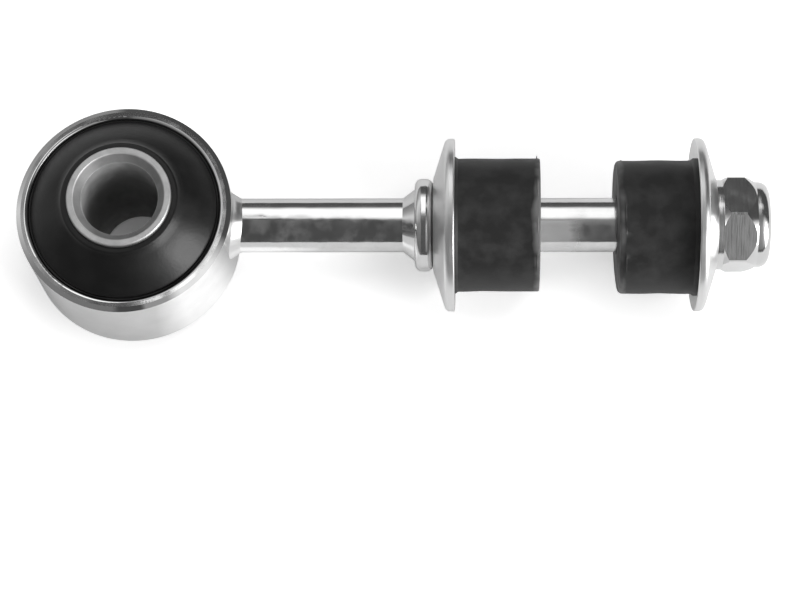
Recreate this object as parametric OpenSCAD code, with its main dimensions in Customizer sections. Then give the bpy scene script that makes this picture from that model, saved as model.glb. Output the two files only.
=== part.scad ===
// Stabilizer link: a rubber-bushed eye welded to a rod that ends in a cushioned stud.
// The eye's bore centre is the origin, its axis is +Z, and the rod runs along +X.

/* [Eye ring] */
// Outer diameter of the ring
eye_d = 39.4; // [34:0.2:46]
// Wall thickness of the ring
eye_wall = 2.3; // [2:0.1:3]
// Height of the ring along the bore
eye_h = 19; // [16:0.5:24]
// Width of the chamfer on the ring's outer edges
eye_chamfer = 0.85; // [0.4:0.05:1]
// Slope of that chamfer from the ring's end face
eye_chamfer_angle = 29; // [20:1:45]
// Rounding of the ring's inner edges
eye_round = 0.8; // [0.4:0.1:0.8]

/* [Inner sleeve] */
// Diameter of the bore
bore_d = 14; // [12:0.1:15]
// Outer diameter of the sleeve
sleeve_d = 19; // [18:0.1:21]
// Length of the sleeve
sleeve_len = 32; // [29:0.5:38]
// Lead-in chamfer at each mouth of the bore
mouth_chamfer = 1.4; // [0.6:0.1:1.4]
// Chamfer on the sleeve's outer edges
sleeve_edge = 0.25; // [0.1:0.05:0.4]

/* [Bush rubber] */
// Width of the rubber collar round the sleeve
collar_w = 1.3; // [0.8:0.1:1.6]
// How far the collar stays below the sleeve's end
collar_drop = 0.9; // [0.5:0.1:1.4]
// How far the dome's back swells out of a straight cone
dome_swell = 0.3; // [0.2:0.05:0.8]
// How far the floor of the edge groove lies below the ring's rim
groove_drop = 0.4; // [0.2:0.1:0.7]
// Width of the groove between the ring and the rubber's lip
groove_w = 0.4; // [0.3:0.1:0.8]
// Radius of the rubber's round lip
lip_r = 0.4; // [0.3:0.1:0.6]
// Angle round the lip at which the dome's back runs onto it
lip_meet = 30; // [20:1:60]

/* [Link rod] */
// Diameter of the rod and of the stud's shank
rod_d = 10; // [8:0.1:12]
// Where the cone behind the collar starts, from the bore's centre
cone_x = 50.8; // [44:0.1:60]
// Length of the cone
cone_len = 2.2; // [1.5:0.1:4]
// Largest diameter of the cone
cone_d = 13.4; // [12.5:0.1:14]
// Width of the forged collar
flange_w = 3.4; // [2.6:0.1:5]
// Diameter of the forged collar
flange_d = 17.2; // [15:0.1:20]
// Rounding of the collar's edges
flange_round = 1.3; // [0.5:0.1:1.3]
// Size of the weld fillet between the rod and the ring
weld_leg = 1.3; // [1:0.1:3]
// Thickness of the weld's toe on the ring
weld_toe = 0.2; // [0.1:0.05:0.4]

/* [Stud thread] */
// Core diameter of the thread, drawn as a plain cylinder
thread_d = 8.6; // [7:0.05:9.4]
// Length of the thread behind the nut's seat
thread_run = 13.5; // [10:0.5:16]
// How far the stud stands out of the nut
stud_proud = 0.3; // [0:0.1:2]
// Chamfer of the stud's end
stud_chamfer = 0.8; // [0.4:0.1:1.2]

/* [Dished washers] */
// Outer diameter of both washers
washer_d = 32; // [29:0.5:38]
// Sheet thickness
washer_t = 1.7; // [1.4:0.1:2.2]
// Radius of the flat middle
flat_r = 8.5; // [7.5:0.1:9.5]
// Slope of the dish
dish_angle = 17.5; // [12:0.5:22]
// Rounding of the rim's edge on the convex side, where the press drew it in
rim_back_round = 1.1; // [0.4:0.1:1.2]
// Rounding of the rim's edge on the hollow side
rim_front_round = 0.3; // [0.1:0.1:0.5]
// Clearance of the washers on the shank
washer_gap = 0.25; // [0.1:0.05:0.5]

/* [Cushions] */
// Diameter of both cushions
cushion_d = 24.6; // [21:0.2:27]
// Length of the inner cushion
inner_len = 17.9; // [14:0.1:20]
// Length of the outer cushion
outer_len = 16.5; // [14:0.1:20]
// Free gap between the cushions, where the bar's arm is clamped
clamp_gap = 14.15; // [14:0.05:24]
// Rounding of the cushions' free edges
cushion_round = 0.4; // [0.2:0.1:1]
// Width of the moulded lip at the cushions' seat
seat_lip_w = 1.5; // [0.8:0.1:2.5]
// How far that lip stands out
seat_lip_h = 0.35; // [0.1:0.05:0.6]
// Clearance of the rubber on the shank and in the dish
cushion_gap = 0.05; // [0.03:0.01:0.1]

/* [Lock nut] */
// Width across the flats
nut_af = 16; // [15:0.5:19]
// Height of the nut with its collar
nut_h = 9.65; // [9.5:0.05:12]
// Diameter of the round seat under the hexagon
seat_d = 16.6; // [15.5:0.1:17.5]
// Height of the round seat
seat_h = 1.1; // [0.6:0.1:1.6]
// Radial cut that blunts the hexagon's corners
corner_cut = 0.14; // [0.05:0.01:0.3]
// Where the hexagon's upper chamfer starts
hex_top = 4.9; // [4:0.1:5.5]
// Radial step from the flats in to the collar
collar_step = 0.12; // [0.05:0.01:0.4]
// Rounding of the rolled lip
roll_r = 1.8; // [1:0.1:2]
// Radius of the opening in the rolled lip
lip_open_r = 5.6; // [5.2:0.1:6]
// Thickness of the rolled lip
lip_t = 0.7; // [0.5:0.1:1]
// Height of the locking insert
insert_h = 2; // [1.5:0.1:2.4]
// Outer radius of the locking insert
insert_r = 6.5; // [6.2:0.1:6.8]
// Radial clearance of the nut and of its insert on the thread
nut_gap = 0.05; // [0.02:0.01:0.1]

/* [Hidden] */
$fn = 96;
// Overshoot of every cutter past the face it cuts
over = 1;
// Radial clearance of the sleeve in its rubber, which shears and lets it twist
twist_gap = 0.05;
// Angle of the nut's lower chamfer to its bearing face
seat_chamfer = 50;
// Angle of the nut's upper chamfer to its axis
top_chamfer = 30;
// Turn that brings one corner of the nut almost to the top
nut_turn = 6.5;

eye_r = eye_d / 2;
eye_in_r = eye_r - eye_wall;
eye_top = eye_h / 2;
sleeve_r = sleeve_d / 2;
sleeve_top = sleeve_len / 2;
bore_r = bore_d / 2;
rubber_r = sleeve_r + twist_gap;
collar_top = sleeve_top - collar_drop;
groove_z = eye_top - groove_drop;
lip_at = eye_in_r - groove_w - lip_r;

rod_r = rod_d / 2;
thread_r = thread_d / 2;
flange_x = cone_x + cone_len;
inner_washer_x = flange_x + flange_w;
inner_seat_x = inner_washer_x + washer_t;
inner_face_x = inner_seat_x + inner_len;
outer_face_x = inner_face_x + clamp_gap;
outer_seat_x = outer_face_x + outer_len;
nut_x = outer_seat_x + washer_t;
stud_x = nut_x + nut_h + stud_proud;

hex_r = nut_af / 2 / cos(30);
corner_r = hex_r - corner_cut;
collar_r = nut_af / 2 - collar_step;
nut_bore_r = thread_r + nut_gap;
insert_top = nut_h - lip_t;
insert_low = insert_top - insert_h;

// Turns a profile drawn as (radius, distance along the rod) round the rod's axis
module turned() {
    rotate([0, 90, 0])
        rotate_extrude()
            children();
}

// Cutter that rounds the corner at (x, y) of an outline that lies on its -sx and -sy sides
module corner_round(x, y, sx, sy, r) {
    translate([x - sx * r, y - sy * r])
        difference() {
            quadrant_square(sx, sy, r + over);
            circle(r);
        }
}

// Square from the origin towards the quadrant of the signs sx and sy
module quadrant_square(sx, sy, size) {
    translate([min(sx, 0) * size, min(sy, 0) * size])
        square(size);
}

// Band of an outline between two radii and two heights
module band(r_in, r_out, low, high) {
    translate([r_in, low])
        square([r_out - r_in, high - low]);
}

// Rolled ring with chamfered outer edges and rounded inner ones
module eye_ring() {
    slope = tan(eye_chamfer_angle);
    color("silver")
        rotate_extrude()
            difference() {
                band(eye_in_r, eye_r, -eye_top, eye_top);
                for (s = [-1, 1]) {
                    corner_round(eye_in_r, s * eye_top, -1, s, eye_round);
                    polygon([
                        [eye_r - eye_chamfer - over, s * (eye_top + over * slope)],
                        [eye_r + over, s * (eye_top - (eye_chamfer + over) * slope)],
                        [eye_r + over, s * (eye_top + over * slope)]
                    ]);
                }
            }
}

// Hollow fillet that joins the rod to the ring's round wall
module weld_bead() {
    toe_r = rod_r + weld_leg;
    foot_x = eye_r + weld_toe + weld_leg;
    color("gainsboro")
        difference() {
            turned()
                difference() {
                    band(rod_r, toe_r, eye_in_r, foot_x);
                    translate([toe_r, foot_x])
                        circle(weld_leg);
                }
            cylinder(h = eye_h, r = eye_r, center = true);
        }
}

// Rod with a cone, a forged collar, the shank and the stud, its foot coped to the ring
module link_rod() {
    color("silver")
        difference() {
            turned() {
                polygon([
                    [0, eye_in_r],
                    [rod_r, eye_in_r],
                    [rod_r, cone_x],
                    [cone_d / 2, flange_x],
                    [cone_d / 2, flange_x + flange_w / 2],
                    [rod_r, flange_x + flange_w / 2],
                    [rod_r, nut_x - thread_run],
                    [thread_r, nut_x - thread_run + rod_r - thread_r],
                    [thread_r, stud_x - stud_chamfer],
                    [thread_r - stud_chamfer, stud_x],
                    [0, stud_x]
                ]);
                difference() {
                    band(0, flange_d / 2, flange_x, flange_x + flange_w);
                    corner_round(flange_d / 2, flange_x, 1, -1, flange_round);
                    corner_round(flange_d / 2, flange_x + flange_w, 1, 1, flange_round);
                }
            }
            cylinder(h = eye_h, r = eye_r, center = true);
        }
}

// Arc that swells by rise out of the chord from a to b, kept between the chord's two ends
module swollen_side(a, b, rise) {
    chord = b - a;
    half = norm(chord) / 2;
    r = (half * half + rise * rise) / (2 * rise);
    out = [-chord[1], chord[0]] / norm(chord);
    intersection() {
        translate((a + b) / 2 - out * (r - rise))
            circle(r, $fn = 4 * $fn);
        band(a[0], b[0], 0, max(a[1], b[1]));
    }
}

// Moulded bush: a collar round the sleeve, a domed back, a round lip and an edge groove
module bush_rubber() {
    collar_edge = [rubber_r + collar_w, collar_top];
    lip_foot = [lip_at + lip_r * cos(lip_meet), groove_z + lip_r * sin(lip_meet)];
    color("#202020")
        rotate_extrude() {
            band(rubber_r, eye_in_r, -groove_z, groove_z);
            band(rubber_r, rubber_r + collar_w, -collar_top, collar_top);
            for (s = [0, 1])
                mirror([0, s])
                    swollen_side(collar_edge, lip_foot, dome_swell);
            for (s = [-1, 1])
                translate([lip_at, s * groove_z])
                    circle(lip_r);
        }
}

// Turned sleeve with a lead-in at each mouth
module inner_sleeve() {
    color("darkgray")
        rotate_extrude()
            polygon([
                [bore_r, mouth_chamfer - sleeve_top],
                [bore_r + mouth_chamfer, -sleeve_top],
                [sleeve_r - sleeve_edge, -sleeve_top],
                [sleeve_r, sleeve_edge - sleeve_top],
                [sleeve_r, sleeve_top - sleeve_edge],
                [sleeve_r - sleeve_edge, sleeve_top],
                [bore_r + mouth_chamfer, sleeve_top],
                [bore_r, sleeve_top - mouth_chamfer]
            ]);
}

// Cutter that rounds the washer's rim where its wall at radius r meets the sloped face through (r, z)
module rim_corner(r, z, side, size) {
    lean = [-side * sin(dish_angle), side * cos(dish_angle)];
    centre = [r - size, z - size * tan(dish_angle) - side * size / cos(dish_angle)];
    touch = centre + size * lean;
    difference() {
        polygon([
            centre,
            touch,
            touch + over * lean,
            [r + over, z + side * over],
            [r + over, centre[1]]
        ]);
        translate(centre)
            circle(size);
    }
}

// Pressed washer: a strip of even thickness, flat in the middle, sloped, and sheared at the rim
module dished_washer() {
    r = washer_d / 2;
    half_t = washer_t / 2;
    back = half_t - half_t / cos(dish_angle) + (r - flat_r) * tan(dish_angle);
    front = back + washer_t / cos(dish_angle);
    turned()
        difference() {
            union() {
                band(rod_r + washer_gap, flat_r, 0, washer_t);
                translate([flat_r, half_t])
                    rotate(dish_angle) {
                        circle(half_t);
                        translate([0, -half_t])
                            square([r, washer_t]);
                    }
            }
            band(r, r + washer_d, -over, washer_d);
            rim_corner(r, front, 1, rim_front_round);
            rim_corner(r, back, -1, rim_back_round);
        }
}

// Rubber cushion with its free face at 0 and its lipped seat, shaped to the dish, at len
module cushion(len) {
    r = cushion_d / 2;
    lip_out_r = r + seat_lip_h;
    seat_r = flat_r - washer_t / 2 * tan(dish_angle / 2) - cushion_gap / sin(dish_angle);
    lip_end = len - (lip_out_r - seat_r) * tan(dish_angle);
    turned()
        difference() {
            polygon([
                [rod_r + cushion_gap, 0],
                [r, 0],
                [r, lip_end - seat_lip_w],
                [lip_out_r, lip_end - seat_lip_w + seat_lip_h],
                [lip_out_r, lip_end],
                [seat_r, len],
                [rod_r + cushion_gap, len]
            ]);
            corner_round(r, 0, 1, -1, cushion_round);
        }
}

module inner_washer() {
    color("silver")
        translate([inner_washer_x, 0, 0])
            dished_washer();
}

module inner_cushion() {
    color("#2b2b2b")
        translate([inner_face_x, 0, 0])
            mirror([1, 0, 0])
                cushion(inner_len);
}

module outer_cushion() {
    color("#2b2b2b")
        translate([outer_face_x, 0, 0])
            cushion(outer_len);
}

module outer_washer() {
    color("silver")
        translate([nut_x, 0, 0])
            mirror([1, 0, 0])
                dished_washer();
}

// Hexagon cut by two cones: one over the round seat, one up to the collar
module hexagon() {
    low_run = (corner_r - seat_d / 2) * tan(seat_chamfer);
    corner_run = corner_cut / tan(top_chamfer);
    top_run = (hex_r - collar_r) / tan(top_chamfer);
    intersection() {
        rotate([0, 90, 0])
            rotate(nut_turn)
                cylinder(h = hex_top + top_run, r = hex_r, $fn = 6);
        turned()
            polygon([
                [0, 0],
                [seat_d / 2, 0],
                [seat_d / 2, seat_h],
                [corner_r, seat_h + low_run],
                [corner_r, hex_top + corner_run],
                [collar_r, hex_top + top_run],
                [0, hex_top + top_run]
            ]);
    }
}

// Round collar above the hexagon, rolled over at its end to hold the insert
module rolled_collar() {
    turned()
        difference() {
            band(0, collar_r, hex_top, nut_h);
            corner_round(collar_r, nut_h, 1, 1, roll_r);
        }
}

module lock_nut() {
    color("silver")
        translate([nut_x, 0, 0])
            difference() {
                union() {
                    turned()
                        band(0, seat_d / 2, 0, seat_h);
                    hexagon();
                    rolled_collar();
                }
                turned() {
                    band(0, nut_bore_r, -over, nut_h + over);
                    band(0, insert_r, insert_low, insert_top);
                    band(0, lip_open_r, insert_low, nut_h + over);
                }
            }
}

// Plastic ring that grips the thread inside the rolled collar
module nut_insert() {
    color("ivory")
        translate([nut_x, 0, 0])
            turned()
                band(nut_bore_r, insert_r, insert_low, insert_top);
}

eye_ring();
weld_bead();
link_rod();
bush_rubber();
inner_sleeve();
inner_washer();
inner_cushion();
outer_cushion();
outer_washer();
lock_nut();
nut_insert();
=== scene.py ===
# %% [markdown]
# A stabilizer link: a rubber-bushed eye welded to a bright plated rod, and a stud with two
# dished washers, two rubber cushions and a lock nut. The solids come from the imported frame, in
# metres, with the bore's centre at the origin. This script gives each one its finish, makes the
# rubber mouldings, the weld and the thread as meshes, and sets the light and the camera.

# %% Load the frame
import math

import bmesh
import bpy
from mathutils import Matrix, Vector, noise


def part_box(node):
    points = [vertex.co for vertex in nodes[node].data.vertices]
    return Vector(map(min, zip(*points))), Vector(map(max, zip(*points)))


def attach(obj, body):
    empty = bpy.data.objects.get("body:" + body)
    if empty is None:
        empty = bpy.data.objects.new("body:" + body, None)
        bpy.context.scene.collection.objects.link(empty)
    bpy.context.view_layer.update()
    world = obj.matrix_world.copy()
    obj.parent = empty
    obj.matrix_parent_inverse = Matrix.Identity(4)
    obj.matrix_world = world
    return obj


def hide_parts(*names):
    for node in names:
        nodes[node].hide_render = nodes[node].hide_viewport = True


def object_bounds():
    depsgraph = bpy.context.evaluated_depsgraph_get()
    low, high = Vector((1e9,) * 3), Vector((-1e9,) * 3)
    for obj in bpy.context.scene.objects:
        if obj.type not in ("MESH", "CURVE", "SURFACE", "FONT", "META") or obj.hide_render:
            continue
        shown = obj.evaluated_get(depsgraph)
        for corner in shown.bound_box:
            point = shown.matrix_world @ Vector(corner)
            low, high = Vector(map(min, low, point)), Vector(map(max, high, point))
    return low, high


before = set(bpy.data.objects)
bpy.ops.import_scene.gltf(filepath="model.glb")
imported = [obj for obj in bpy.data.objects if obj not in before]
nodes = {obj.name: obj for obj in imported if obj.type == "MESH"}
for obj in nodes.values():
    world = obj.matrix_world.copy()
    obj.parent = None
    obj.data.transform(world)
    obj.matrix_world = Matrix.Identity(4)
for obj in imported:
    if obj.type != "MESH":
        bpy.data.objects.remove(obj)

MM = 0.001
cad_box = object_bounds()
print("nodes:", sorted(nodes))

# %% [markdown]
# The camera has the photograph's point of view: high over the near side, looking down steeply,
# with a long lens that still lets it see through the bore. A view is easiest to keep as a target,
# a distance and three angles, because each of them can be changed alone.

# %% Camera
VIEW_TARGET = Vector((50.34, -14.55, 0)) * MM
VIEW_DISTANCE = 438.1 * MM
VIEW_AZIMUTH = math.radians(-6.164)
VIEW_ELEVATION = math.radians(72.26)
VIEW_ROLL = math.radians(-5.90)
LENS = 107.37
CLIP_START = 10 * MM


def sight(azimuth, elevation):
    """Unit vector of a gaze: azimuth 0 is +Y and grows towards +X, elevation looks down."""
    flat = math.cos(elevation)
    return Vector((math.sin(azimuth) * flat, math.cos(azimuth) * flat, -math.sin(elevation)))


camera_data = bpy.data.cameras.new("camera")
camera_data.lens = LENS
camera_data.clip_start = CLIP_START
camera = bpy.data.objects.new("camera", camera_data)
bpy.context.scene.collection.objects.link(camera)
gaze = sight(VIEW_AZIMUTH, VIEW_ELEVATION)
turn = gaze.to_track_quat("-Z", "Y").to_matrix() @ Matrix.Rotation(VIEW_ROLL, 3, "Z")
camera.matrix_world = Matrix.Translation(VIEW_TARGET - gaze * VIEW_DISTANCE) @ turn.to_4x4()
bpy.context.scene.camera = camera
bpy.context.scene.view_settings.view_transform = "Standard"
print("camera at", [round(c / MM) for c in camera.matrix_world.translation], "mm")

# %% [markdown]
# Every finish below is a small tree of shader nodes. One function adds a node, sets it up and
# links it, so that each tree reads as a list of what it holds. Another turns the sRGB hex colours
# given here into the linear numbers that shaders count with.

# %% Shader helpers
def linear(hex_colour):
    """Linear RGBA of an sRGB hex colour, by the curve of the sRGB standard."""
    srgb = [int(hex_colour[i:i + 2], 16) / 255 for i in (1, 3, 5)]
    return [c / 12.92 if c <= 0.04045 else ((c + 0.055) / 1.055) ** 2.4 for c in srgb] + [1.0]


def add(tree, kind, inputs=None, **settings):
    """Adds a node; inputs maps a socket to a value, another socket, or a node's first output."""
    node = tree.nodes.new(kind)
    for name, value in settings.items():
        setattr(node, name, value)
    for key, value in (inputs or {}).items():
        if isinstance(value, bpy.types.Node):
            value = value.outputs[0]
        if isinstance(value, bpy.types.NodeSocket):
            tree.links.new(value, node.inputs[key])
        else:
            node.inputs[key].default_value = value
    return node


def start_material(name):
    """A new material with an empty tree, and its place in the frame, in metres, for patterns."""
    material = bpy.data.materials.new(name)
    material.use_nodes = True
    material.node_tree.nodes.clear()
    place = add(material.node_tree, "ShaderNodeTexCoord").outputs["Object"]
    return material, material.node_tree, place


def per_mm(size_mm):
    """Scale of a pattern whose features measure this many millimetres."""
    return 1 / (size_mm * MM)


def set_stops(ramp, stops):
    """Gives a colour ramp its stops, as pairs of position and grey level or hex colour."""
    elements = ramp.color_ramp.elements
    while len(elements) < len(stops):
        elements.new(1.0)
    for element, (position, value) in zip(elements, stops):
        element.position = position
        element.color = linear(value) if isinstance(value, str) else (value, value, value, 1)


# Factors that drop the height from a position
FLATTEN = (1, 1, 0)
# Numbers of the colour sockets on a Mix node
MIX_A, MIX_B, MIX_OUT = 6, 7, 2

# %% [markdown]
# The link lies on a small sheet of white paper, so the floor is pale, of limited size, and takes
# the shadows. A curved backdrop could rise behind it, but from this high the lens sees only the
# sheet, so one flat quad does.

# %% Paper floor
FLOOR_Z = cad_box[0][2]
SHEET_X = (-230 * MM, 350 * MM)
SHEET_Y = (-150 * MM, 330 * MM)

corners = [(SHEET_X[i], SHEET_Y[j]) for i, j in ((0, 0), (1, 0), (1, 1), (0, 1))]
floor_mesh = bpy.data.meshes.new("floor")
floor_mesh.from_pydata([(x, y, FLOOR_Z) for x, y in corners], [], [(0, 1, 2, 3)])
floor = bpy.data.objects.new("floor", floor_mesh)
bpy.context.scene.collection.objects.link(floor)
print("floor at", round(FLOOR_Z / MM, 2), "mm")

# %% [markdown]
# The paper glows a little towards the lens, as overexposed paper does, which lifts it to pure white
# while the shadows stay. The glow is strongest round the eye, as painted light that lifts the eye's
# shadows, and fades under it, as painted shade that keeps the view through the bore dim.
# Reflections see it only in a hot spot in front of the weld, a painted reflection that whitens the
# ring's side there. Stronger lamps could whiten the paper too, but they would wash out the link.

# %% White paper
PAPER = "#F6F6F6"
# Distance from the bore as a share of this length, and the glow that the lens sees there, which
# holds painted light round the eye and painted shade under it
GLOW_REACH = 100 * MM
GLOW_WITH_PAINTED_LIGHT_AND_SHADE = [
    (0.00, 0.09), (0.09, 0.09), (0.18, 0.46), (0.24, 0.50), (0.36, 0.46), (0.46, 0.38),
    (0.54, 0.37), (0.66, 0.39), (0.80, 0.42)]
# Glow that metal sees, far from the hot spot and in it, where it is a painted reflection
GLOW_TO_METAL, PAINTED_REFLECTION_GLOW = 0.0, 0.56
PAINTED_REFLECTION_SPOT = Vector((20, -16.5, 0)) * MM
PAINTED_REFLECTION_FROM, PAINTED_REFLECTION_TO = 6.5 * MM, 15.5 * MM

paper, tree, place = start_material("white_paper")
rays = add(tree, "ShaderNodeLightPath").outputs
flat = add(tree, "ShaderNodeVectorMath", {0: place, 1: FLATTEN}, operation="MULTIPLY")
from_bore = add(tree, "ShaderNodeVectorMath", {0: flat}, operation="LENGTH").outputs["Value"]
away = add(tree, "ShaderNodeMath", {0: from_bore, 1: GLOW_REACH}, operation="DIVIDE")
lens_glow_painted_light_and_shade = add(tree, "ShaderNodeValToRGB", {"Fac": away})
set_stops(lens_glow_painted_light_and_shade, GLOW_WITH_PAINTED_LIGHT_AND_SHADE)
# The hot spot is a painted reflection: only glossy rays see it, on the ring's side
from_spot = add(tree, "ShaderNodeVectorMath", {0: flat, 1: PAINTED_REFLECTION_SPOT}, operation="DISTANCE")
painted_reflection = add(tree, "ShaderNodeMapRange", {
    "Value": from_spot.outputs["Value"], "From Min": PAINTED_REFLECTION_FROM, "From Max": PAINTED_REFLECTION_TO,
    "To Min": PAINTED_REFLECTION_GLOW, "To Max": GLOW_TO_METAL})
painted_reflection_to_metal = add(tree, "ShaderNodeMath", {0: rays["Is Glossy Ray"], 1: painted_reflection}, operation="MULTIPLY")
lift = add(tree, "ShaderNodeMath", {
    0: rays["Is Camera Ray"], 1: lens_glow_painted_light_and_shade, 2: painted_reflection_to_metal}, operation="MULTIPLY_ADD")
glow = add(tree, "ShaderNodeEmission", {"Strength": lift})
matt = add(tree, "ShaderNodeBsdfDiffuse", {"Color": linear(PAPER)})
sheet = add(tree, "ShaderNodeAddShader", {0: matt, 1: glow})
add(tree, "ShaderNodeOutputMaterial", {"Surface": sheet})
floor_mesh.materials.append(paper)
print("floor wears", paper.name)

# %% [markdown]
# Metal has no colour of its own: the bands on the rod are a picture of the studio round it. So
# the world is drawn twice. Reflections see a narrow strip light over the rod, a dark gap beside it
# with one small lamp in it, which catches the ring's rim, a white card on the left, a dim room on
# the right and a bright screen beyond it. Each is given as stops along the arc from the far horizon
# over the top to the near one. All other rays see an even sky, which lights the link softly at a
# level that keeps colours as written. A picture of a room could be wrapped round the link instead,
# but this script reads no pictures, and stops can be tuned one band at a time.

# %% Studio layout
SKY = (0.40, 0.40, 0.40, 1)
BACKDROP = (1, 1, 1, 1)
GAP = (0.10, 0.10, 0.10, 1)
# Share of the half circle, and the brightness that metal sees there
ARCS = {
    "strip": [
        (0.000, 0.10), (0.040, 0.12), (0.130, 0.15), (0.205, 1.70), (0.415, 1.70), (0.480, 0.38),
        (0.550, 0.26), (0.620, 0.19), (0.720, 0.11), (0.820, 0.075), (0.920, 0.045)],
    "lamp": [(0.000, 0.10), (0.390, 0.10), (0.396, 2.20), (0.430, 2.20), (0.450, 0.10)],
    "card": [(0.00, 0.30), (0.12, 0.50), (0.25, 1.00), (0.42, 0.70), (0.60, 0.30), (1.00, 0.18)],
    "room": [
        (0.00, 0.10), (0.27, 0.10), (0.30, 0.80), (0.34, 0.80), (0.37, 0.10), (0.42, 0.10),
        (0.55, 0.32), (0.65, 0.48), (0.80, 0.44), (1.00, 0.30)],
    "screen": [(0.00, 0.10), (0.46, 0.10), (0.58, 1.30), (0.74, 1.30), (1.00, 0.30)],
}
# Sideways part of a direction, from where the next one starts to where it has taken over
STRIP_TO_GAP = (-0.319, -0.330)
GAP_TO_LAMP, LAMP_TO_GAP = (-0.342, -0.347), (-0.369, -0.375)
GAP_TO_CARD = (-0.155, -0.22)
STRIP_TO_ROOM = (0.065, 0.105)
ROOM_TO_SCREEN = (0.30, 0.42)
# How far the strip's left end and the lamp lean aside along the arc
STRIP_LEAN = 0.60

# %% Studio world
world = bpy.data.worlds.new("studio")
bpy.context.scene.world = world
world.use_nodes = True
tree = world.node_tree
tree.nodes.clear()
direction = add(tree, "ShaderNodeTexCoord").outputs["Generated"]
way = add(tree, "ShaderNodeSeparateXYZ", {0: direction}).outputs
angle = add(tree, "ShaderNodeMath", {0: way["Z"], 1: way["Y"]}, operation="ARCTAN2")
share = add(tree, "ShaderNodeMath", {0: angle, 1: math.pi}, operation="DIVIDE")
leaning = add(tree, "ShaderNodeMath", {
    0: share, 1: -STRIP_LEAN, 2: way["X"]}, operation="MULTIPLY_ADD")
lights = {}
for name, stops in ARCS.items():
    lights[name] = add(tree, "ShaderNodeValToRGB", {"Fac": share})
    set_stops(lights[name], stops)
scenery = lights["strip"].outputs[0]
for sideways, (start, end), neighbour in (
        (leaning, STRIP_TO_GAP, GAP), (leaning, GAP_TO_LAMP, lights["lamp"]),
        (leaning, LAMP_TO_GAP, GAP), (way["X"], GAP_TO_CARD, lights["card"]),
        (way["X"], STRIP_TO_ROOM, lights["room"]), (way["X"], ROOM_TO_SCREEN, lights["screen"])):
    past = add(tree, "ShaderNodeMapRange", {"Value": sideways, "From Min": start, "From Max": end})
    blend = add(tree, "ShaderNodeMix", {
        0: past, MIX_A: scenery, MIX_B: neighbour}, data_type="RGBA")
    scenery = blend.outputs[MIX_OUT]
rays = add(tree, "ShaderNodeLightPath").outputs
sky = add(tree, "ShaderNodeMix", {
    0: rays["Is Camera Ray"], MIX_A: SKY, MIX_B: BACKDROP}, data_type="RGBA")
seen = add(tree, "ShaderNodeMix", {
    0: rays["Is Glossy Ray"], MIX_A: sky.outputs[MIX_OUT], MIX_B: scenery}, data_type="RGBA")
back = add(tree, "ShaderNodeBackground", {"Color": seen.outputs[MIX_OUT]})
add(tree, "ShaderNodeOutputWorld", {"Surface": back})
world.cycles.sampling_method = "NONE"
print("studio with", ", ".join(lights))

# %% [markdown]
# Two lamps give the light a direction. A tall soft box on the right, almost on the table, is the
# key: it reaches into the bore, makes the gleam on the bush's dome and the bright edge of the ring
# next to the rod. A soft sun from the far right throws the short shadows, and stays out of
# reflections because the strip light already stands there.

# %% Lamps
OBJECT_CENTRE = Vector((50, 0, 0)) * MM
SUN_GAZE = sight(math.radians(-128), math.radians(68))
SUN_STRENGTH, SUN_WIDTH = 1.0, math.radians(34)
BOX_GAZE = sight(math.radians(-62), math.radians(14))
BOX_DISTANCE = 900 * MM
BOX_WIDTH, BOX_HEIGHT = 540 * MM, 900 * MM
BOX_RADIANCE = 7.6


def add_lamp(name, kind, gaze, **settings):
    """A lamp that shines along a gaze; settings go on its data."""
    data = bpy.data.lights.new(name, kind)
    for key, value in settings.items():
        setattr(data, key, value)
    lamp = bpy.data.objects.new(name, data)
    lamp.rotation_euler = gaze.to_track_quat("-Z", "Y").to_euler()
    bpy.context.scene.collection.objects.link(lamp)
    return lamp


sun = add_lamp("soft_sun", "SUN", SUN_GAZE, energy=SUN_STRENGTH, angle=SUN_WIDTH)
sun.visible_glossy = False
soft_box = add_lamp(
    "soft_box", "AREA", BOX_GAZE, shape="RECTANGLE", size=BOX_WIDTH, size_y=BOX_HEIGHT,
    energy=BOX_RADIANCE * math.pi * BOX_WIDTH * BOX_HEIGHT)
soft_box.location = OBJECT_CENTRE - BOX_GAZE * BOX_DISTANCE
print("lamps:", sun.name, soft_box.name)

# %% [markdown]
# The mouldings, the weld and the thread are meshes made in code. Most of them are turned shapes: a
# closed outline of radius and height, swept round an axis. A lathe modifier could do that too, but
# a loop over angles lets each point be nudged on the way, for flash, ripples and moulding wobble.
# All lengths in these cells are millimetres.

# %% Mesh helpers
SHARP_EDGE = math.radians(35)


def make_piece(name, points_mm, faces, body, replaces=None):
    """Closed smooth mesh from points in millimetres, riding on a body, hiding the solid it
    replaces.
    """
    mesh = bpy.data.meshes.new(name)
    mesh.from_pydata([Vector(p) * MM for p in points_mm], [], faces)
    shell = bmesh.new()
    shell.from_mesh(mesh)
    bmesh.ops.recalc_face_normals(shell, faces=shell.faces)
    shell.to_mesh(mesh)
    shell.free()
    mesh.shade_smooth()
    mesh.set_sharp_from_angle(angle=SHARP_EDGE)
    piece = bpy.data.objects.new(name, mesh)
    bpy.context.scene.collection.objects.link(piece)
    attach(piece, body)
    if replaces:
        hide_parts(replaces)
    print(name, len(mesh.vertices), "points,", len(mesh.polygons), "faces")
    return piece


def ring_faces(rings, count, closed):
    """Quads between rings of count points each; closed joins the last ring to the first."""
    faces = []
    for i in range(rings if closed else rings - 1):
        a, b = i * count, (i + 1) % rings * count
        for j in range(count):
            k = (j + 1) % count
            faces.append((a + j, a + k, b + k, b + j))
    return faces


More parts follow.
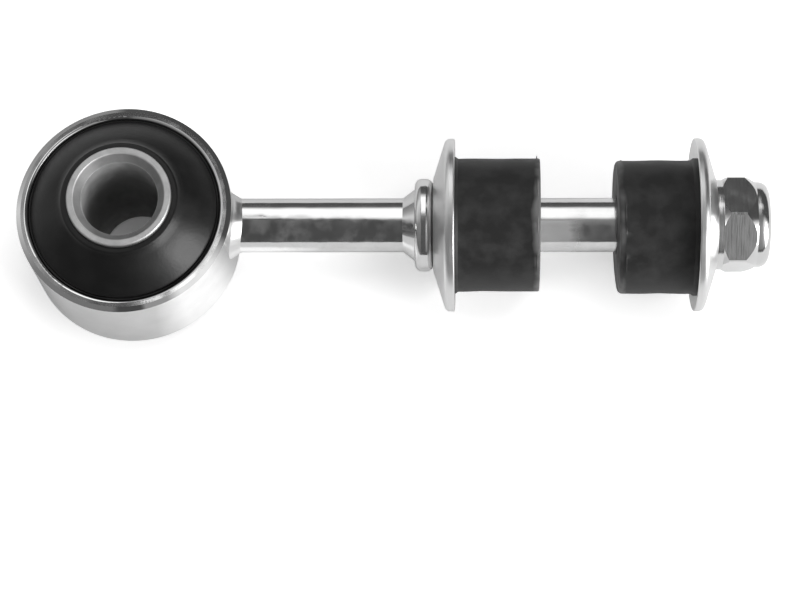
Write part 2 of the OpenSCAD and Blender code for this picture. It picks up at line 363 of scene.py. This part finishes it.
def spread(outline, step):
    """The closed outline with extra points, so that neighbours lie no further apart than step."""
    fine = []
    for (r0, h0), (r1, h1) in zip(outline, outline[1:] + outline[:1]):
        parts = max(1, math.ceil(math.hypot(r1 - r0, h1 - h0) / step))
        fine += [(r0 + (r1 - r0) * i / parts, h0 + (h1 - h0) * i / parts) for i in range(parts)]
    return fine


def arc(centre, radius, start, end, steps):
    """Points of an arc in an outline's plane; the angles are degrees from the radius axis."""
    angles = [math.radians(start + (end - start) * i / steps) for i in range(steps + 1)]
    return [(centre[0] + radius * math.cos(a), centre[1] + radius * math.sin(a)) for a in angles]


def wobble(point, size, depth):
    """Smooth offset of up to about depth, with bumps of this size, the same in every run."""
    return depth * noise.noise(Vector(point) / size)


# %% [markdown]
# The stud's thread is M10 x 1.25. The solid holds only the thread's core, so the ridge is wound on
# it here: a trapezoid carried round a helix, with its foot sunk into the core and both ends run out
# to nothing. Bump could fake it, but not the jagged outline that shows once the nut, which hides
# most of it, is screwed up or down.

# %% Stud thread
PITCH = 1.25
CREST_R = 4.92
RIDGE_FOOT, RIDGE_TOP = 1.12, 0.18
FOOT_SINK = 0.06
RUN_OUT = 0.75
END_CHAMFER = 0.8
STEPS_PER_TURN = 60
RIDGE_POINTS = 4
# Distances from the stud's end between which the core is measured, and the step up to the shank
CORE_FROM, CORE_TO = 5, 0.1
SHANK_STEP = 0.1

solid = [v.co / MM for v in nodes["link_rod"].data.vertices]
rod_points = [(p.x, math.hypot(p.y, p.z)) for p in solid]
stud_end = max(x for x, r in rod_points)
core_r = max(r for x, r in rod_points if stud_end - CORE_FROM < x < stud_end - CORE_TO)
thread_from = max(x for x, r in rod_points if r > core_r + SHANK_STEP)
turns = (stud_end - END_CHAMFER - RIDGE_FOOT / 2 - thread_from) / PITCH
foot_r = core_r - FOOT_SINK
points = []
for i in range(int(turns * STEPS_PER_TURN) + 1):
    turned = i / STEPS_PER_TURN
    t = turned * 2 * math.pi
    x = thread_from + turned * PITCH
    height = min(1, turned / RUN_OUT, (turns - turned) / RUN_OUT) * (CREST_R - core_r)
    for offset, r in (
            (-RIDGE_FOOT / 2, foot_r), (-RIDGE_TOP / 2, core_r + height),
            (RIDGE_TOP / 2, core_r + height), (RIDGE_FOOT / 2, foot_r)):
        points.append((x + offset, r * math.cos(t), r * math.sin(t)))
first_end = tuple(reversed(range(RIDGE_POINTS)))
last_end = tuple(range(len(points) - RIDGE_POINTS, len(points)))
faces = ring_faces(len(points) // RIDGE_POINTS, RIDGE_POINTS, closed=False)
stud_thread = make_piece(
    "stud_thread", points, faces + [first_end, last_end], "link")
print("thread:", round(turns, 1), "turns on a core of radius", round(core_r, 2), "mm")

# %% [markdown]
# A weld bead joins the rod's foot to the ring. The solid is a plain fillet; here it follows the
# saddle where the round rod meets the round ring, with the faint overlapping ripples that a weld
# pool leaves when it freezes in steps. Plating has softened them, so they stay shallow. The bead
# could be sculpted by hand, but a section carried round the joint meets both parts exactly.

# %% Weld bead
ROD_R = 5.0
EYE_R = 19.7
WELD_LEG, WELD_RUN = 1.3, 1.7
TOE_R = ROD_R + WELD_LEG
# Share of both legs at which the handle of the bead's curve stands
BELLY = 0.38
TOE_SINK, NECK_SINK, BURIED = 0.05, 0.02, 0.35
WELD_RIPPLES, RIPPLE_HEIGHT = 22, 0.012
UNEVEN_SIZE, UNEVEN_DEPTH = 0.5, 0.02
# Crater where the weld pool was left, as an angle round the rod, its half width and its depth
CRATER_AT, CRATER_HALF, CRATER_DEPTH = 70, 20, 0.28
WELD_STEPS = 240
SECTION_STEPS = 8
OUTWARD = Vector((1, 1)).normalized()


def ring_x(y):
    """Where the ring's round wall stands at this distance from the rod's axis."""
    return math.sqrt(EYE_R ** 2 - y ** 2)


points = []
for i in range(WELD_STEPS):
    t = 2 * math.pi * i / WELD_STEPS
    across, up = math.cos(t), math.sin(t)
    ripple = RIPPLE_HEIGHT * math.sin(WELD_RIPPLES * t)
    ripple += wobble((across, up, 0), UNEVEN_SIZE, UNEVEN_DEPTH)
    off = (math.degrees(t) - CRATER_AT) / CRATER_HALF
    ripple -= CRATER_DEPTH * math.exp(-off * off)
    foot_x = ring_x(ROD_R * across)
    toe = Vector((ring_x(TOE_R * across) - TOE_SINK, TOE_R))
    neck = Vector((foot_x + WELD_RUN, ROD_R - NECK_SINK))
    handle = Vector((foot_x + BELLY * WELD_RUN, ROD_R + BELLY * WELD_LEG))
    for k in range(SECTION_STEPS + 1):
        s = k / SECTION_STEPS
        p = toe * (1 - s) ** 2 + handle * 2 * s * (1 - s) + neck * s ** 2
        p += OUTWARD * ripple * math.sin(math.pi * s)
        points.append((p.x, p.y * across, p.y * up))
    root_x, root_r = toe.x - BURIED, ROD_R - BURIED
    for x, r in ((neck.x, root_r), (root_x, root_r), (root_x, TOE_R)):
        points.append((x, r * across, r * up))
weld = make_piece(
    "weld_ripples", points, ring_faces(WELD_STEPS, len(points) // WELD_STEPS, closed=True),
    "link", replaces="weld_bead")

# %% [markdown]
# The bush is moulded rubber, squeezed into the ring and bonded round the sleeve. Its outline is
# drawn for one end and mirrored: a soft-edged collar on the sleeve, a swollen dome, a round lip and
# the groove against the ring. A subdivided cage would be soft too, but a swept outline keeps each
# measured radius. The skin wobbles by hundredths of a millimetre, as cured rubber does, but not
# where it is bonded.

# %% Bush outline
BUSH_IN_R, BUSH_OUT_R = 9.55, 17.39
COLLAR_R, COLLAR_TOP = 10.85, 15.1
COLLAR_SOFT = 0.6
GROOVE_Z, GROOVE_SINK, GROOVE_W = 9.1, 0.05, 0.2
LIP_R, LIP_AT = 0.4, 16.6
# Angles at which the lip leaves the dome and ends in the groove, and the collar's edge ends
LIP_MEET, LIP_END, EDGE_END = 30, -20, 25
DOME_SWELL = 0.3
# Points at the dome's start that the collar's soft edge stands in for
DOME_SKIP = 3
OUTLINE_STEP = 0.8


def swollen(a, b, rise, steps):
    """Points of a curve that swells by rise out of the straight line from a to b."""
    a, b = Vector(a), Vector(b)
    out = Vector((a.y - b.y, b.x - a.x)).normalized()
    shares = [i / steps for i in range(steps + 1)]
    return [tuple(a.lerp(b, s) + out * (4 * rise * s * (1 - s))) for s in shares]


lip = arc((LIP_AT, GROOVE_Z), LIP_R, LIP_MEET, LIP_END, steps=10)
edge_centre = (COLLAR_R - COLLAR_SOFT, COLLAR_TOP - COLLAR_SOFT)
collar_edge = arc(edge_centre, COLLAR_SOFT, 90, EDGE_END, steps=7)
dome = swollen((COLLAR_R, COLLAR_TOP - COLLAR_SOFT), lip[0], DOME_SWELL, steps=24)
upper = (
    [(BUSH_IN_R, COLLAR_TOP)] + collar_edge + dome[DOME_SKIP:-1] + lip
    + [(BUSH_OUT_R - GROOVE_W, GROOVE_Z - GROOVE_SINK), (BUSH_OUT_R, GROOVE_Z)])
outline = spread(upper + [(r, -z) for r, z in reversed(upper)], OUTLINE_STEP)
print("bush outline of", len(outline), "points")

# %% Bush rubber
BUSH_STEPS = 180
# Width of the bonded skin at the sleeve and at the ring
BOND_IN, BOND_OUT = 0.2, 0.1
SKIN_SIZE, SKIN_DEPTH = 4.0, 0.06

points = []
for i in range(BUSH_STEPS):
    t = 2 * math.pi * i / BUSH_STEPS
    for r, z in outline:
        x, y = r * math.cos(t), r * math.sin(t)
        free = BUSH_IN_R + BOND_IN < r < BUSH_OUT_R - BOND_OUT
        points.append((x, y, z + (wobble((x, y, z), SKIN_SIZE, SKIN_DEPTH) if free else 0)))
bush = make_piece(
    "bush_moulding", points, ring_faces(BUSH_STEPS, len(outline), closed=True),
    "link", replaces="bush_rubber")

# %% [markdown]
# Each cushion is a thick rubber tube. From the free face to the seat it has a bevelled bore, a
# slightly hollow face, a thin uneven flash where the mould closed, a straight side and a raised lip
# that fills the washer's dish. Cloth simulation suits padding, but this is one solid moulding, so
# it is swept from an outline as well. The sizes of the seat are measured on the solid, so that the
# cushion fits its washer.

# %% Cushion outline
CUSHION_R = 12.3
CUSHION_BORE_R = 5.05
BORE_BEVEL, BEVEL_END = 0.5, 0.02
FACE_HOLLOW = 0.12
FLASH_W, FLASH_H = 0.30, 0.28
SEAT_LIP_W = 1.5
LIP_SOFT = 0.15
CUSHION_STEP = 0.9
# Lengths closer than this count as the same
SAME = 0.01


def measure_seat(node, face_x):
    """Length, seat radius, lip radius and lip end of a cushion's solid, from its free face."""
    solid = [v.co / MM for v in nodes[node].data.vertices]
    spots = [(abs(p.x - face_x), math.hypot(p.y, p.z)) for p in solid]
    length = max(d for d, r in spots)
    seat_r = max(r for d, r in spots if d > length - SAME)
    lip_r = max(r for d, r in spots)
    lip_end = max(d for d, r in spots if r > lip_r - SAME)
    return length, seat_r, lip_r, lip_end


def cushion_outline(length, seat_r, lip_r, lip_end, edge):
    """Closed outline of radius and distance from the free face, whose edge has this radius."""
    lip_start = lip_end - SEAT_LIP_W
    lip_h = lip_r - CUSHION_R
    face_mid = (CUSHION_BORE_R + CUSHION_R) / 2
    return spread(
        [(CUSHION_BORE_R, BORE_BEVEL), (CUSHION_BORE_R + BORE_BEVEL, BEVEL_END)]
        + [(face_mid, FACE_HOLLOW)]
        + arc((CUSHION_R - edge, edge), edge, -90, 0, steps=5)
        + [(CUSHION_R, edge + FLASH_W * k / 2) for k in range(1, 4)]
        + [(CUSHION_R, lip_start), (lip_r - LIP_SOFT, lip_start + lip_h - LIP_SOFT / 2)]
        + [(lip_r, lip_start + lip_h + LIP_SOFT), (lip_r, lip_end - LIP_SOFT)]
        + [(lip_r - LIP_SOFT, lip_end), (seat_r, length), (CUSHION_BORE_R, length)], CUSHION_STEP)


# %% [markdown]
# The two cushions are the same moulding, turned to face each other. What tells them apart is how
# they sit: the inner one is straight, with a torn spur of flash, and the outer one hangs on the
# shank a little low and askew. Sag and tilt fade out towards the bore and the seat, which stay in
# place on the rod and in the washer.

# %% Cushions
CUSHION_STEPS = 180
FLASH_WAVES = 2.2
# Place of a torn spur of flash round the cushion, and its half width, in degrees
SPUR_AT, SPUR_HALF = 18, 3
# Skin round the bore that keeps still, and the width over which the rest comes loose
STILL_SKIN, LOOSE_SKIN = 0.6, 2
PAD_SIZE, PAD_DEPTH = 5.0, 0.10


def make_cushion(name, node, body, face_x, way, edge, seed, sag=0.0, tilt=0.0, spur=0.0):
    """Cushion with its free face at face_x and its seat along way; seed varies its skin."""
    seat = measure_seat(node, face_x)
    length = seat[0]
    outline = cushion_outline(*seat, edge)
    points = []
    for i in range(CUSHION_STEPS):
        t = 2 * math.pi * i / CUSHION_STEPS
        across, up = math.cos(t), math.sin(t)
        uneven = noise.noise(Vector((across * FLASH_WAVES, up * FLASH_WAVES, seed)))
        flash = FLASH_H * max(0, uneven) ** 0.5
        flash += spur * math.exp(-((math.degrees(t) - SPUR_AT) / SPUR_HALF) ** 2)
        for r, d in outline:
            loose = min(1, max(0, (r - CUSHION_BORE_R - STILL_SKIN) / LOOSE_SKIN))
            if abs(d - edge - FLASH_W) < SAME and r > CUSHION_R - SAME:
                r += flash
            r += loose * wobble((d, r * across + seed, r * up), PAD_SIZE, PAD_DEPTH)
            free = 1 - d / length
            y = r * across - sag * loose
            points.append((face_x + way * d + tilt * y * free * loose, y, r * up))
    return make_piece(
        name, points, ring_faces(CUSHION_STEPS, len(outline), closed=True),
        body, replaces=node)


inner_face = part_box("inner_cushion")[1].x / MM
outer_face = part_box("outer_cushion")[0].x / MM
inner_pad = make_cushion(
    "inner_pad", "inner_cushion", "cushion_inner", inner_face, way=-1, edge=0.25, seed=3.0,
    tilt=0.006, spur=0.55)
outer_pad = make_cushion(
    "outer_pad", "outer_cushion", "cushion_outer", outer_face, way=1, edge=0.8, seed=11.0,
    sag=0.45, tilt=-0.022)
print("free faces at", round(inner_face, 2), "and", round(outer_face, 2), "mm")

# %% [markdown]
# Bright zinc plate over steel: the ring, the rod, the washers and the nut are plated in a barrel,
# which leaves a thin, cool mirror. To the eye it is a grey metal with slightly soft reflections, a
# gentle waviness that bends them, hazy clouds from the bath and hair lines from the tools. The
# drawn rod is the brightest, its lines run along it, and its near side has faint stains and a smear
# of wax from the rubber on the shank between the cushions. The weld and the pressed washers are
# duller, and the nut's flats carry lines across them, drawn coarser than real so that they show.
# Pictures of scratched metal could be laid on, but noise in real millimetres has no seams.

# %% Smear on the rod
# Middle and half length of the smear along the rod, and the raggedness of its ends
FILM_MIDDLE, FILM_HALF, FILM_RAGGED = 77.0, 5.6, 3.0
# Where the smear fades out on its way over the top of the rod
FILM_SIDE = (-1.4, -0.6)
STREAK_MM, STAIN_MM = 1.2, 3.0
STAIN_NOISE = (0.45, 0.65)
# How metallic the rod looks through the smear and in its faint stains
FILM_METALLIC, STAIN_METALLIC = 0.50, 0.89


def rod_metallic(tree, place, drawn):
    """How metallic the rod looks, less under the smear and in the stains of its near side."""
    spot = add(tree, "ShaderNodeSeparateXYZ", {0: place}).outputs
    off = add(tree, "ShaderNodeMath", {0: spot["X"], 1: FILM_MIDDLE * MM}, operation="SUBTRACT")
    reach = add(tree, "ShaderNodeMath", {0: off}, operation="ABSOLUTE")
    streaks = add(tree, "ShaderNodeTexNoise", {
        "Vector": drawn, "Scale": per_mm(STREAK_MM), "Detail": 2.0})
    ragged = add(tree, "ShaderNodeMath", {
        0: streaks, 1: -FILM_RAGGED * MM, 2: reach}, operation="MULTIPLY_ADD")
    stains = add(tree, "ShaderNodeTexNoise", {
        "Vector": place, "Scale": per_mm(STAIN_MM), "Detail": 6.0})
    clean = add(tree, "ShaderNodeMapRange", {
        "Value": stains, "From Min": STAIN_NOISE[0], "From Max": STAIN_NOISE[1],
        "To Min": 1.0, "To Max": STAIN_METALLIC})
    ends = add(tree, "ShaderNodeMapRange", {
        "Value": ragged, "From Min": (FILM_HALF - FILM_RAGGED) * MM, "From Max": FILM_HALF * MM,
        "To Min": FILM_METALLIC, "To Max": clean})
    side = add(tree, "ShaderNodeMapRange", {
        "Value": spot["Y"], "From Min": FILM_SIDE[0] * MM, "From Max": FILM_SIDE[1] * MM})
    return add(tree, "ShaderNodeMath", {0: ends, 1: side}, operation="MAXIMUM")


# %% Bright zinc plate
# Stretch of the hair lines
ALONG_ROD, ALL_WAYS, ACROSS_FLATS = (0.08, 1, 1), (1, 1, 1), (1, 0.08, 0.08)
CLOUD_MM = 5.0
# Noise between which a clear spot turns hazy, and the usual range of the noise
HAZE_NOISE, USUAL_NOISE = (0.45, 0.75), (0.3, 0.7)
TINT = (0.94, 1.04)
WAVE_DEPTH, HAIR_DEPTH = 0.05 * MM, 0.01 * MM


def zinc_plate(name, colour, clear, hazy, lines, cut, wave_mm=4.0, hair_mm=0.3, smeared=False):
    """Plated steel, rough from clear to hazy, with hair lines that cut this strongly."""
    material, tree, place = start_material(name)
    clouds = add(tree, "ShaderNodeTexNoise", {
        "Vector": place, "Scale": per_mm(CLOUD_MM), "Detail": 5.0})
    gloss = add(tree, "ShaderNodeMapRange", {
        "Value": clouds, "From Min": HAZE_NOISE[0], "From Max": HAZE_NOISE[1],
        "To Min": clear, "To Max": hazy})
    tint = add(tree, "ShaderNodeMapRange", {
        "Value": clouds, "From Min": USUAL_NOISE[0], "From Max": USUAL_NOISE[1],
        "To Min": TINT[0], "To Max": TINT[1]})
    shade = add(tree, "ShaderNodeVectorMath", {
        0: linear(colour)[:3], "Scale": tint}, operation="SCALE")
    waves = add(tree, "ShaderNodeTexNoise", {
        "Vector": place, "Scale": per_mm(wave_mm), "Detail": 1.0})
    drawn = add(tree, "ShaderNodeMapping", {"Vector": place, "Scale": lines})
    hairs = add(tree, "ShaderNodeTexNoise", {
        "Vector": drawn, "Scale": per_mm(hair_mm), "Detail": 3.0})
    wavy = add(tree, "ShaderNodeBump", {
        "Height": waves, "Strength": 1.0, "Distance": WAVE_DEPTH})
    relief = add(tree, "ShaderNodeBump", {
        "Height": hairs, "Strength": cut, "Distance": HAIR_DEPTH, "Normal": wavy})
    shader = add(tree, "ShaderNodeBsdfPrincipled", {
        "Base Color": shade, "Metallic": 1.0, "Roughness": gloss, "Normal": relief})
    if smeared:
        bare = rod_metallic(tree, place, drawn)
        tree.links.new(bare.outputs[0], shader.inputs["Metallic"])
    add(tree, "ShaderNodeOutputMaterial", {"Surface": shader})
    return material


def dress(material, *things):
    """Gives pieces their finish."""
    for thing in things:
        thing.data.materials.clear()
        thing.data.materials.append(material)
        print(thing.name, "wears", material.name)


# %% Plated pieces
dress(
    zinc_plate("bright_zinc_on_drawn_rod", "#CFCFCF", 0.10, 0.18, ALONG_ROD, 0.3, smeared=True),
    nodes["link_rod"], stud_thread)
dress(
    zinc_plate("bright_zinc_on_rolled_ring", "#CCCCCC", 0.06, 0.11, ALL_WAYS, 0.1, wave_mm=7.0),
    nodes["eye_ring"])
dress(zinc_plate("dull_zinc_on_weld_metal", "#CCCCCC", 0.34, 0.44, ALL_WAYS, 0.2), weld)
dress(
    zinc_plate("satin_zinc_on_pressed_washers", "#DADADA", 0.31, 0.42, ALL_WAYS, 0.2),
    nodes["inner_washer"], nodes["outer_washer"])
dress(
    zinc_plate("bright_zinc_on_formed_nut", "#CFCFCF", 0.12, 0.20, ACROSS_FLATS, 1.1, hair_mm=0.45),
    nodes["lock_nut"])

# %% [markdown]
# The sleeve is cut from drawn tube. The bore keeps a phosphate film, which is grey, dull and a
# little oily and scatters light. Its colour is painted darker towards the middle and on the
# lead-in, as painted shade in the bore, and slightly lighter on the end faces. The end faces are
# turned bright and mirror the room. The tool's feed leaves fine rings, drawn three times as coarse
# as the real ones. Face and bore could have a material each, but then the solid's faces would have
# to be sorted, and ramps over radius and height do the same with one.

# %% Phosphated sleeve
MOTTLE_MM = 2.2
MOTTLE_STOPS = [(0.30, "#A4A4A4"), (0.75, "#BEBEBE")]
SLEEVE_ROUGHNESS = (0.42, 0.56)
FEED_MM, FEED_DEPTH = 0.45, 0.02 * MM
# A wave texture of scale 1 repeats once in this length
WAVE_UNIT = 2 * math.pi / 20
# Radii between which the dull lead-in turns into the bright end face, and how metallic each looks
LEAD_IN_FROM, LEAD_IN_TO = 8.30, 8.38
FILM_LOOK, FACE_LOOK = 0.15, 0.60
# Share of the way from the sleeve's middle to its end, and the colour that painted shade leaves
# there
BORE_PAINTED_SHADE_STOPS = [
    (0.00, 0.38), (0.40, 0.48), (0.80, 0.92), (0.905, 1.00), (0.92, 0.42), (0.985, 0.40),
    (0.995, 1.10)]

phosphate, tree, place = start_material("phosphated_turned_steel")
mottle = add(tree, "ShaderNodeTexNoise", {
    "Vector": place, "Scale": per_mm(MOTTLE_MM), "Detail": 4.0})
shade = add(tree, "ShaderNodeValToRGB", {"Fac": mottle})
set_stops(shade, MOTTLE_STOPS)
dull = add(tree, "ShaderNodeMapRange", {
    "Value": mottle, "To Min": SLEEVE_ROUGHNESS[0], "To Max": SLEEVE_ROUGHNESS[1]})
feed = add(tree, "ShaderNodeTexWave", {
    "Vector": place, "Scale": per_mm(FEED_MM) * WAVE_UNIT, "Distortion": 0.6, "Detail": 1.0},
    wave_type="BANDS", bands_direction="Z")
relief = add(tree, "ShaderNodeBump", {"Height": feed, "Strength": 0.2, "Distance": FEED_DEPTH})
flat = add(tree, "ShaderNodeVectorMath", {0: place, 1: FLATTEN}, operation="MULTIPLY")
from_axis = add(tree, "ShaderNodeVectorMath", {0: flat}, operation="LENGTH").outputs["Value"]
metallic = add(tree, "ShaderNodeMapRange", {
    "Value": from_axis, "From Min": LEAD_IN_FROM * MM, "From Max": LEAD_IN_TO * MM,
    "To Min": FILM_LOOK, "To Max": FACE_LOOK})
along = add(tree, "ShaderNodeSeparateXYZ", {0: place}).outputs["Z"]
from_middle = add(tree, "ShaderNodeMath", {0: along}, operation="ABSOLUTE")
reach = add(tree, "ShaderNodeMath", {0: from_middle, 1: -FLOOR_Z}, operation="DIVIDE")
# Painted shade: the colour darkens towards the bore's middle and on the lead-in
bore_painted_shade = add(tree, "ShaderNodeValToRGB", {"Fac": reach})
set_stops(bore_painted_shade, BORE_PAINTED_SHADE_STOPS)
painted_shade_colour = add(tree, "ShaderNodeVectorMath", {0: shade, 1: bore_painted_shade}, operation="MULTIPLY")
shader = add(tree, "ShaderNodeBsdfPrincipled", {
    "Base Color": painted_shade_colour, "Metallic": metallic, "Roughness": dull, "Normal": relief})
add(tree, "ShaderNodeOutputMaterial", {"Surface": shader})
dress(phosphate, nodes["inner_sleeve"])

# %% [markdown]
# Both rubbers are carbon-filled and nearly black. The bush is moulded in a polished tool, so its
# skin is satin with a clear gleam. The cushions are duller, with a chalky bloom of wax in patches,
# and their free edges are pale, partly from scuffing and partly as painted light on the free faces.
# Both free faces lie equally far from the middle of the gap between them, so one distance along the
# rod finds the pale edge of either cushion, with no mask to paint.

# %% Moulded rubbers
RUBBER_IOR = 1.40
# Noise at which the rubber is dark and at which it is bloomed
DARK_AT, BLOOM_AT = 0.40, 0.72
GRAIN_STRENGTH, GRAIN_DEPTH = 0.35, 0.05 * MM
GAP_MIDDLE, GAP_HALF = (inner_face + outer_face) / 2, (outer_face - inner_face) / 2
# Pale edges, part wear and part painted light: where they start and are full, their raggedness,
# their patches and their colour
WEAR_FROM, WEAR_TO, WEAR_RAGGED = GAP_HALF - 0.8, GAP_HALF - 1.8, 4.0
WEAR_MM, WEAR_NOISE, WEAR_LEAST = 9.0, (0.42, 0.58), 0.35
WORN_AND_PAINTED_LIGHT = "#707070"


def edge_wear_and_painted_light(tree, place, wear_and_light):
    """Part wear, part painted light: pale patches on the free edges, up to the given share."""
    along = add(tree, "ShaderNodeSeparateXYZ", {0: place}).outputs["X"]
    off = add(tree, "ShaderNodeMath", {0: along, 1: GAP_MIDDLE * MM}, operation="SUBTRACT")
    reach = add(tree, "ShaderNodeMath", {0: off}, operation="ABSOLUTE")
    rubbed = add(tree, "ShaderNodeTexNoise", {
        "Vector": place, "Scale": per_mm(WEAR_MM), "Detail": 3.0})
    ragged = add(tree, "ShaderNodeMath", {
        0: rubbed, 1: -WEAR_RAGGED * MM, 2: reach}, operation="MULTIPLY_ADD")
    edge = add(tree, "ShaderNodeMapRange", {
        "Value": ragged, "From Min": WEAR_FROM * MM, "From Max": WEAR_TO * MM})
    scuffs = add(tree, "ShaderNodeMapRange", {
        "Value": rubbed, "From Min": WEAR_NOISE[0], "From Max": WEAR_NOISE[1],
        "To Min": WEAR_LEAST * wear_and_light, "To Max": wear_and_light})
    return add(tree, "ShaderNodeMath", {0: edge, 1: scuffs}, operation="MULTIPLY")


def moulded_rubber(name, dark, bloom, roughness, grain_mm, patch_mm, wear_and_light):
    """Black rubber with patches of bloom, fine grain and pale edges of wear and painted light."""
    material, tree, place = start_material(name)
    patches = add(tree, "ShaderNodeTexNoise", {
        "Vector": place, "Scale": per_mm(patch_mm), "Detail": 5.0})
    shade = add(tree, "ShaderNodeValToRGB", {"Fac": patches})
    set_stops(shade, [(DARK_AT, dark), (BLOOM_AT, bloom)])
    gloss = add(tree, "ShaderNodeMapRange", {
        "Value": patches, "From Min": USUAL_NOISE[0], "From Max": USUAL_NOISE[1],
        "To Min": roughness[0], "To Max": roughness[1]})
    grain = add(tree, "ShaderNodeTexNoise", {
        "Vector": place, "Scale": per_mm(grain_mm), "Detail": 4.0})
    relief = add(tree, "ShaderNodeBump", {
        "Height": grain, "Strength": GRAIN_STRENGTH, "Distance": GRAIN_DEPTH})
    skin = add(tree, "ShaderNodeMix", {
        0: edge_wear_and_painted_light(tree, place, wear_and_light), MIX_A: shade, MIX_B: linear(WORN_AND_PAINTED_LIGHT)}, data_type="RGBA")
    shader = add(tree, "ShaderNodeBsdfPrincipled", {
        "Base Color": skin.outputs[MIX_OUT], "Roughness": gloss, "IOR": RUBBER_IOR,
        "Normal": relief})
    add(tree, "ShaderNodeOutputMaterial", {"Surface": shader})
    return material


# %% Rubber pieces
dress(
    moulded_rubber(
        "satin_moulded_rubber", "#0C0C0C", "#141414", roughness=(0.32, 0.42),
        grain_mm=0.6, patch_mm=5.0, wear_and_light=0.0),
    bush)
dress(
    moulded_rubber(
        "bloomed_moulded_rubber", "#1A1A1A", "#2E2E2E", roughness=(0.48, 0.64),
        grain_mm=0.5, patch_mm=3.0, wear_and_light=0.8),
    inner_pad, outer_pad)

# %% [markdown]
# The locking ring in the nut is natural nylon: a milky plastic, slightly waxy and faintly grained
# where the thread has pressed into it. Light could be let into it, but a ring this small looks the
# same with a plain pale gloss, which renders faster.

# %% Nylon insert
NYLON_IOR, NYLON_ROUGHNESS = 1.53, 0.42
MILK_MM, MILK_DEPTH = 1.5, 0.05 * MM
MILK_STOPS = [(0.0, "#D6D1C2"), (1.0, "#E8E4D8")]

nylon, tree, place = start_material("natural_nylon")
milk = add(tree, "ShaderNodeTexNoise", {"Vector": place, "Scale": per_mm(MILK_MM), "Detail": 3.0})
shade = add(tree, "ShaderNodeValToRGB", {"Fac": milk})
set_stops(shade, MILK_STOPS)
relief = add(tree, "ShaderNodeBump", {"Height": milk, "Strength": 0.2, "Distance": MILK_DEPTH})
shader = add(tree, "ShaderNodeBsdfPrincipled", {
    "Base Color": shade, "Roughness": NYLON_ROUGHNESS, "IOR": NYLON_IOR, "Normal": relief})
add(tree, "ShaderNodeOutputMaterial", {"Surface": shader})
dress(nylon, nodes["nut_insert"])
